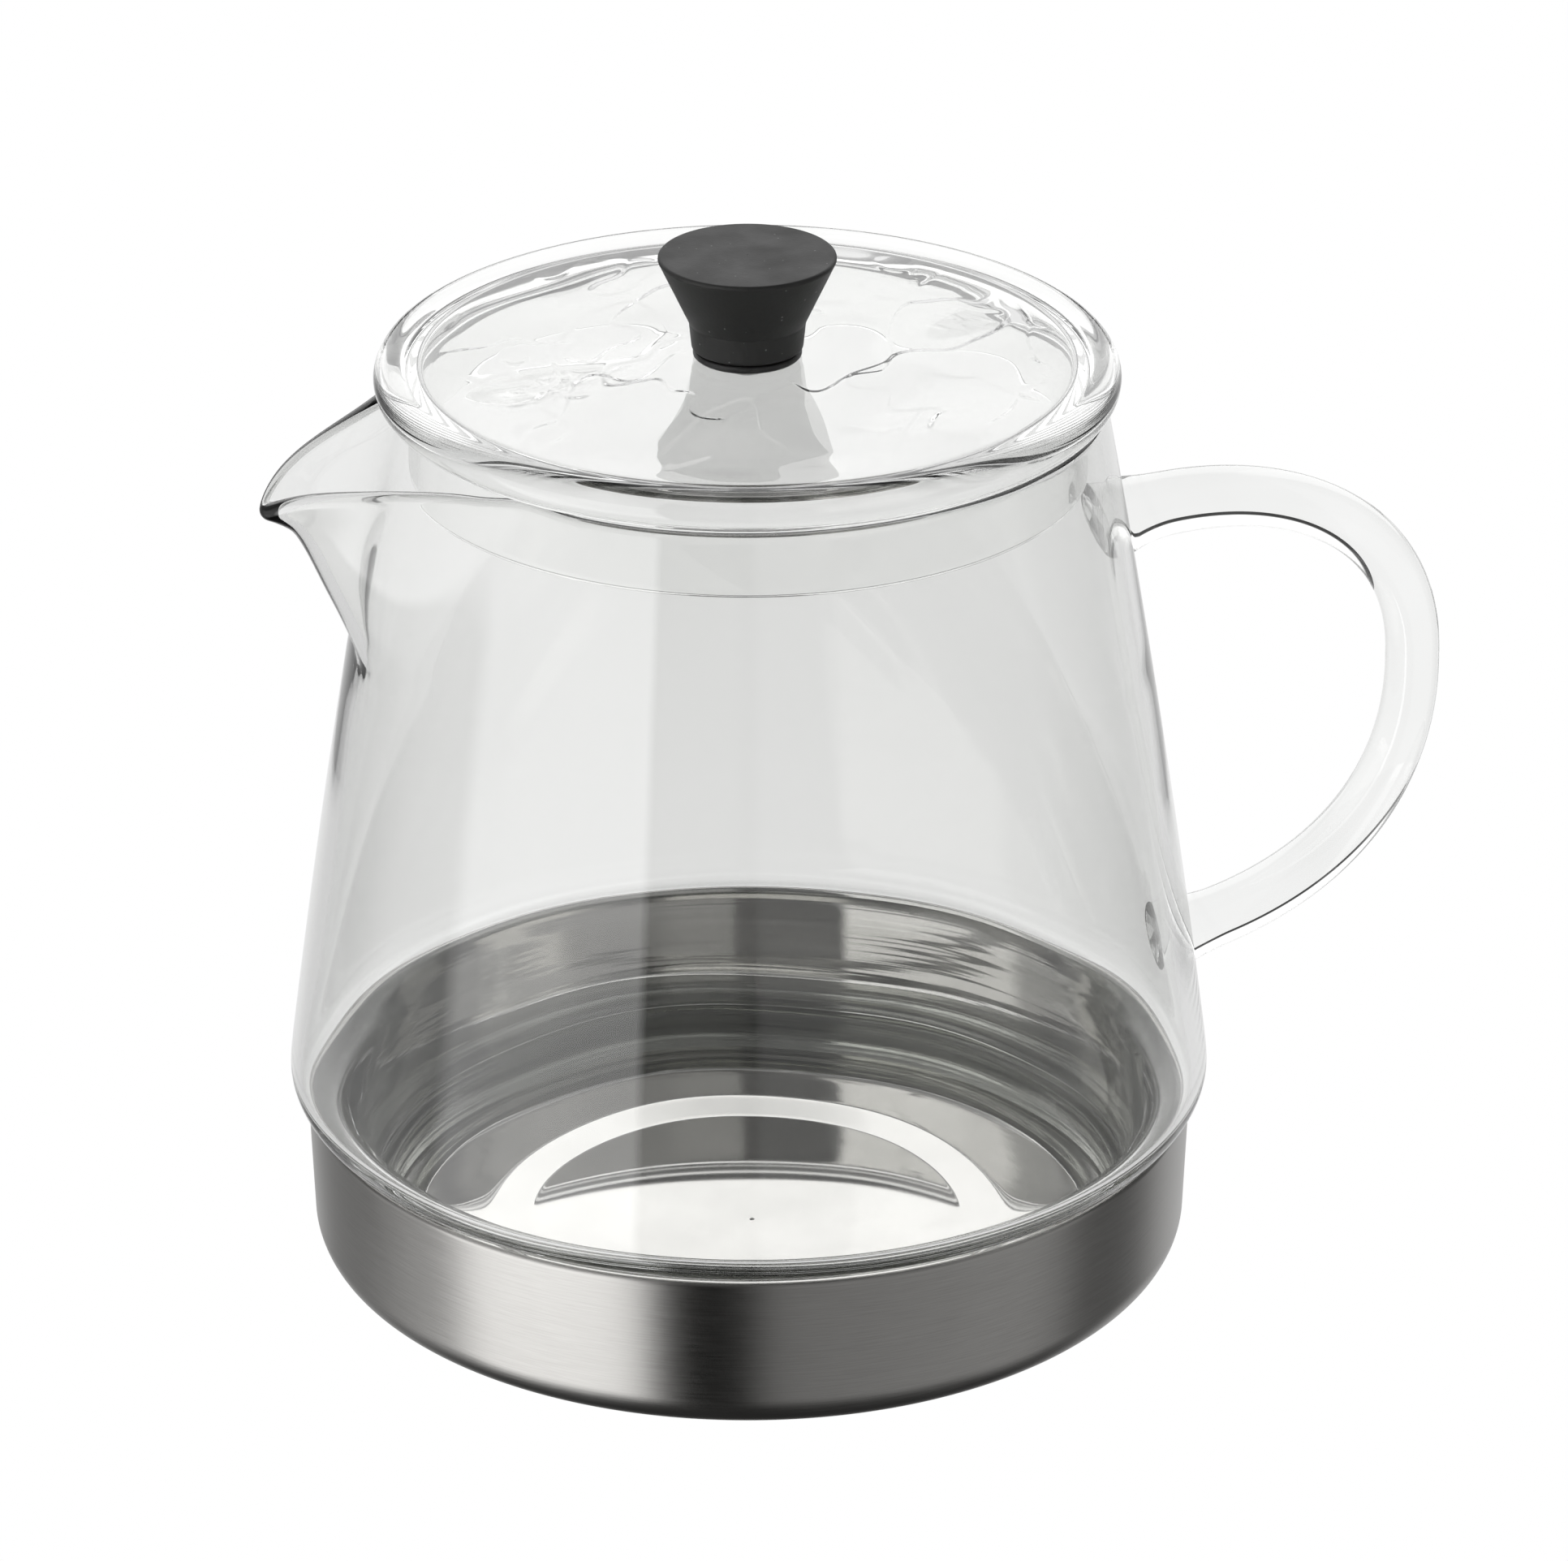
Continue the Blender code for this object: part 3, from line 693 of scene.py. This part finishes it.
def glass_handle(mat):
    """The bent rod, its ends cut to the cone of the body."""
    path = np.vstack([bezier(ROD_TOP, 90), bezier(ROD_LOW, 90)[1:]])
    run = np.concatenate([[0.0], np.cumsum(np.linalg.norm(np.diff(path, axis=0), axis=1))])
    tangent = np.gradient(path, axis=0)
    tangent /= np.linalg.norm(tangent, axis=1)[:, None]
    sides = np.linspace(0, 2 * math.pi, 56, endpoint=False)
    rows = []
    for (x, z), (tx, tz), at in zip(path, tangent, run):
        radius = rod_radius(at / run[-1], min(at, run[-1] - at))
        y, n = radius * np.sin(sides), radius * np.cos(sides)
        px, pz = x - tz * n, z + tx * n
        wall = np.sqrt((cone_r(pz) + SEAM_GAP) ** 2 - y * y)
        rows.append(np.stack([np.maximum(px, wall), y, pz], axis=1))
    rows = [capped(rows[0], share) for share in CAP_SHARES] + rows
    rows += [capped(rows[-1], share) for share in reversed(CAP_SHARES)]
    obj = grid_object("handle_glass", np.array(rows), cyclic_rows=False)
    stand_for(obj, "glass_handle", "pot", "rod_glass", mat)


def capped(ring, share):
    """The rod's end ring drawn in to a share of its size, lying on the wall of the body."""
    middle = ring.mean(axis=0)
    small = middle + (ring - middle) * share
    small[:, 0] = np.sqrt((cone_r(small[:, 2]) + SEAM_GAP) ** 2 - small[:, 1] ** 2)
    return small


# -------------------------------------------------------------------- lid


def lid_wave(grid):
    """Pressed glass isn't quite flat: the crown's two faces swell and dip a little, and low steps
    wander over the underside where the glass met the mould first."""
    x, y, z = grid[..., 0], grid[..., 1], grid[..., 2]
    r = np.hypot(x, y)
    crown = smoothstep(r, *WAVE_FROM_R) * (1 - smoothstep(r, *WAVE_UNTIL_R))
    crown = crown * smoothstep(z, *WAVE_FROM_Z)
    above = smoothstep(z, *TOP_FACE_Z)
    top_height, top_length = TOP_WAVE
    under_height, under_length = UNDER_WAVE
    top = top_height * ripple(x, y, seed=11, scale=top_length)
    under = under_height * ripple(x, y, seed=5, scale=under_length)
    ragged, ragged_length = CHILL_RAGGED
    for seed, level in CHILL_LINES:
        field = ripple(x, y, seed, CHILL_SIZE) + ragged * ripple(x, y, seed + 1, ragged_length)
        under = under + CHILL_STEP * np.tanh((field - level) / CHILL_EDGE)
    grid[..., 2] = z + crown * (above * top + (1 - above) * under)
    return grid


def glass_lid(mat):
    """The pressed lid: a crown that swells into a rounded bead, and a skirt under it."""
    under = LID_CROWN_Z - LID_CROWN_THICK
    skirt_in = LID_SKIRT_R - LID_SKIRT_WALL
    half = LID_SKIRT_WALL / 2
    tip = (LID_SKIRT_R - half, LID_SKIRT_Z + half)
    rise = LID_BEAD_Z + LID_BEAD_TUBE - LID_CROWN_Z
    profile = [(LID_HOLE_R, LID_CROWN_Z)]
    profile += [(r, LID_CROWN_Z + rise * float(smoothstep(r, LID_RISE_R, LID_BEAD_R)))
                for r in np.linspace(LID_RISE_R, LID_BEAD_R, 30)]
    profile += arc(LID_BEAD_R, LID_BEAD_Z, LID_BEAD_TUBE, 88, -124, 60)
    profile += [(LID_SKIRT_R, LID_SKIRT_TOP_Z)]
    profile += arc(*tip, half, 0, -180, 24)
    turn = arc(skirt_in - LID_FILLET, under - LID_FILLET, LID_FILLET, 0, 90, 40)
    profile += turn + [(LID_HOLE_R, under)]
    rows = evenly(profile, spacing=0.3, blur=0.22)
    obj = lathe("lid_clear", rows, LID_COLUMNS, lid_wave)
    stand_for(obj, "lid_glass", "lid", "lid_clear_glass", mat)


# -------------------------------------------------- seal, knob and hardware


def seal_ring():
    """The ring that lies in the cup's corner, with a low seat for the glass."""
    corner_r = CUP_RIM_R - CUP_TAPER - CUP_CORNER_R
    outer = CUP_CORNER_R - CUP_SHEET - SEAM_GAP
    profile = [(SEAL_IN_R, CUP_CORNER_R - outer)]
    profile += arc(corner_r, CUP_CORNER_R, outer, -90, 0, 20)
    profile += [
        (corner_r + outer, SEAL_TOP_Z), (SEAL_CREST_R, SEAL_TOP_Z),
        (SEAL_CREST_R - 0.3, SEAL_SEAT_Z), (SEAL_IN_R, SEAL_SEAT_Z),
    ]
    obj = lathe("seal_silicone", evenly(profile, spacing=0.3, blur=0.2), ROUND)
    mat = silicone("seal_clear", (0.42, 0.43, 0.40), (0.36, 0.37, 0.34), 0.0, 1.0)
    stand_for(obj, "seal_ring", "pot", "clear_silicone", mat)


def small_turned(name, node, slot, profile, mat, blur=SMALL_BLUR):
    """A small round piece of the lid, in the place of its CAD node."""
    obj = lathe(name, evenly(profile, SMALL_SPACING, blur), SMALL_ROUND)
    stand_for(obj, node, "lid", slot, mat)


def knob():
    edge_z = KNOB_TOP_Z - KNOB_EDGE
    profile = [
        (KNOB_BORE_R, COLLAR_LOW_Z), (COLLAR_LOW_R - 0.3, COLLAR_LOW_Z),
        (COLLAR_LOW_R, COLLAR_LOW_Z + 0.3), (COLLAR_R, COLLAR_TOP_Z - 0.3),
        (COLLAR_R, COLLAR_TOP_Z), (COLLAR_R + 0.25, COLLAR_TOP_Z + 0.5),
        (KNOB_TOP_R - 0.15, edge_z), (KNOB_TOP_R, edge_z + 0.3),
        (KNOB_TOP_R, KNOB_TOP_Z - 0.25), (KNOB_TOP_R - 0.25, KNOB_TOP_Z),
        (KNOB_AXIS_R, KNOB_TOP_Z), (KNOB_AXIS_R, KNOB_BORE_TOP), (KNOB_BORE_R, KNOB_BORE_TOP),
    ]
    small_turned("knob", "lid_knob", "black_plastic", profile, knob_plastic())


def brass_insert():
    """The threaded sleeve in the knob, with a groove round it that keeps it from pulling out."""
    low = COLLAR_LOW_Z + INSERT_RECESS
    waist = INSERT_R - INSERT_GROOVE
    profile = [
        (SCREW_BORE_R, low), (INSERT_R, low), (INSERT_R, low + 2.4), (waist, low + 2.8),
        (waist, low + 4.4), (INSERT_R, low + 4.8), (INSERT_R, INSERT_TOP),
        (SCREW_BORE_R, INSERT_TOP),
    ]
    brass = turned_metal("brass_turned", (0.78, 0.58, 0.30), (0.62, 0.43, 0.19), 0.25)
    small_turned("brass_insert", "knob_insert", "insert_brass", profile, brass)


def gasket():
    """The disc between knob and lid, and its grommet, which lines the hole in the lid."""
    seat = LID_CROWN_Z + GASKET_LIFT
    profile = [
        (SCREW_BORE_R, GROMMET_LOW_Z), (GROMMET_R, GROMMET_LOW_Z), (GROMMET_R, seat),
        (GASKET_R - 0.35, seat), (GASKET_R, seat + 0.35), (GASKET_R, GASKET_TOP - 0.2),
        (GASKET_R - 0.2, GASKET_TOP), (SCREW_BORE_R, GASKET_TOP),
    ]
    rubber = silicone("gasket_black", (0.022, 0.022, 0.022), (0.012, 0.012, 0.012), 0.38, 0.0)
    small_turned("gasket", "knob_gasket", "black_silicone", profile, rubber, blur=0.05)


def washer():
    bottom, top = WASHER_Z
    profile = [(SCREW_BORE_R, bottom), (WASHER_R, bottom), (WASHER_R, top), (SCREW_BORE_R, top)]
    clear = silicone("washer_clear", (0.84, 0.86, 0.83), (0.76, 0.79, 0.75), 0.4, 0.7)
    small_turned("washer", "screw_washer", "washer_silicone", profile, clear, blur=0.04)


def bright_screw():
    """The CAD screw is shown as it is, with bright metal on it."""
    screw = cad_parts["knob_screw"]
    bright = turned_metal("screw_bright", (0.66, 0.66, 0.66), (0.52, 0.52, 0.52), 0.18)
    screw.data.materials.clear()
    screw.data.materials.append(bright)


# ----------------------------------------------------------------- studio

# Brightness of the room by direction: degrees to the right of the camera's side, and a value.
# Low is below the horizon, which the upright walls mirror. High is above it, which the lid mirrors.
LOW_ROOM = (
    (-180, 0.95), (-160, 0.75), (-146, 0.40), (-118, 0.34), (-104, 0.80), (-84, 1.00),
    (-78, 3.10), (-28, 3.20), (-25.5, 0.01), (1.5, 0.01), (4, 0.50), (70, 0.66), (88, 0.64),
    (97, 0.18), (124, 0.19), (138, 0.75), (180, 0.90),
)
HORIZON_ROOM = (
    (-180, 0.03), (-158, 0.04), (-140, 0.30), (-108, 0.30), (-84, 1.00), (-78, 3.00),
    (-28, 3.10), (-25.5, 0.01), (1.5, 0.01), (4, 0.42), (88, 0.44), (97, 0.12), (124, 0.10),
    (180, 0.03),
)
HIGH_ROOM = (
    (-180, 1.60), (-140, 1.55), (-130, 0.30), (-106, 0.25), (-100, 0.60), (-84, 0.70),
    (-78, 1.50), (-28, 1.55), (-25.5, 0.07), (1.5, 0.07), (4, 0.40), (89, 0.42), (97, 0.12),
    (124, 0.12), (134, 1.45), (180, 1.60),
)
CEILING = 0.2
UNDER = 0.05
# Where one layer passes into the next, as the height of a direction of length 1
LOW_TO_HORIZON = (-0.07, -0.04)
HORIZON_TO_HIGH = (0.04, 0.10)
HIGH_TO_CEILING = (0.72, 0.9)
LOW_TO_UNDER = (-0.62, -0.85)

TABLE_R = 3.0               # metres
TABLE_SIDES = 96
TABLE_GAP = 0.2             # the table lies this far below the pot, so that no faces coincide
TABLE_MIRRORED = 0.8        # its brightness for a ray that has been reflected
WHITE = (1.0, 1.0, 1.0, 1.0)


def room_stops(room):
    """Ramp stops from directions in degrees and values."""
    return [(degrees / 360 + 0.5, (value, value, value)) for degrees, value in room]


def studio_world():
    """A dark room with a tall softbox on the left, a weaker panel on the right and a lit
    backdrop behind. The camera sees plain white past the table."""
    world = bpy.data.worlds.new("studio")
    bpy.context.scene.world = world
    sky = Nodes(world)
    turned = sky.add("ShaderNodeVectorRotate", rotation_type="Z_AXIS")
    turned.inputs["Angle"].default_value = -math.radians(CAMERA_TURN)
    sky.feed(sky.add("ShaderNodeTexCoord").outputs["Generated"], turned.inputs["Vector"])
    right, away, height = sky.split(turned.outputs[0])
    azimuth = sky.math("ARCTAN2", right, sky.math("MULTIPLY", away, -1.0))
    position = sky.math("MULTIPLY_ADD", azimuth, 1 / (2 * math.pi), 0.5)
    low, horizon, high = (sky.ramp(position, room_stops(room))
                          for room in (LOW_ROOM, HORIZON_ROOM, HIGH_ROOM))

    def above(change):
        return sky.map_range(height, change, interpolation_type="SMOOTHSTEP")

    room = sky.mix(above(HORIZON_TO_HIGH), horizon, high)
    room = sky.mix(above(LOW_TO_HORIZON), low, room)
    room = sky.mix(above(HIGH_TO_CEILING), room, CEILING)
    room = sky.mix(above(LOW_TO_UNDER), room, UNDER)
    seen = sky.add("ShaderNodeLightPath").outputs["Is Camera Ray"]
    sky.feed(sky.mix(seen, room, 1.0), sky.nodes["Background"].inputs["Color"])


def table_white():
    """An even glow, dimmer for rays that have been reflected on their way."""
    mat = bpy.data.materials.new("table_white")
    tree = Nodes(mat)
    tree.nodes.clear()
    glow = tree.add("ShaderNodeEmission")
    glow.inputs["Color"].default_value = WHITE
    reflections = tree.add("ShaderNodeLightPath").outputs["Glossy Depth"]
    strength = tree.map_range(reflections, (0.0, 1.0), (1.0, TABLE_MIRRORED))
    tree.feed(strength, glow.inputs["Strength"])
    out = tree.add("ShaderNodeOutputMaterial")
    tree.feed(glow.outputs[0], out.inputs["Surface"])
    mat.cycles.emission_sampling = "NONE"
    return mat


def table():
    """The white table. A surface's own mirror image shows the room's low layer in its place."""
    turns = [2 * math.pi * k / TABLE_SIDES for k in range(TABLE_SIDES)]
    ring = [(TABLE_R * math.cos(turn), TABLE_R * math.sin(turn), -TABLE_GAP * MM)
            for turn in turns]
    mesh = bpy.data.meshes.new("table")
    mesh.from_pydata(ring, [], [list(range(TABLE_SIDES))])
    mesh.materials.append(table_white())
    obj = bpy.data.objects.new("table", mesh)
    bpy.context.scene.collection.objects.link(obj)
    obj.visible_glossy = False


def camera():
    """A long lens, a little above the pot and off to the side of the spout."""
    data = bpy.data.cameras.new("camera")
    data.lens = CAMERA_LENS
    data.sensor_width = CAMERA_SENSOR
    data.clip_start, data.clip_end = 0.05, 50.0
    obj = bpy.data.objects.new("camera", data)
    obj.location = Vector(CAMERA_MM) * MM
    obj.rotation_euler = (math.radians(CAMERA_TILT), 0.0, math.radians(CAMERA_TURN))
    bpy.context.scene.collection.objects.link(obj)
    bpy.context.scene.camera = obj


def light_paths():
    """Rays cross many glass faces before they reach the table, and colours are shown plainly."""
    scene = bpy.context.scene
    scene.view_settings.view_transform = "Standard"
    scene.cycles.max_bounces = 32
    scene.cycles.transmission_bounces = 32
    scene.cycles.glossy_bounces = 16
    scene.cycles.transparent_max_bounces = 16
    scene.cycles.blur_glossy = 0.0
    scene.cycles.sample_clamp_indirect = 6.0


camera()
studio_world()
table()
light_paths()
steel_cup()
seal_ring()
glass_body(glass("glass_blown", (0.884, 0.886, 0.880), (0.866, 0.869, 0.862), grain=22.0))
glass_handle(glass("glass_rod", (0.938, 0.941, 0.934), (0.905, 0.909, 0.901), grain=60.0))
glass_lid(glass("glass_pressed", (0.868, 0.870, 0.863), (0.852, 0.855, 0.847), grain=26.0,
                thin_below=LID_THIN_BELOW))
knob()
brass_insert()
gasket()
washer()
bright_screw()
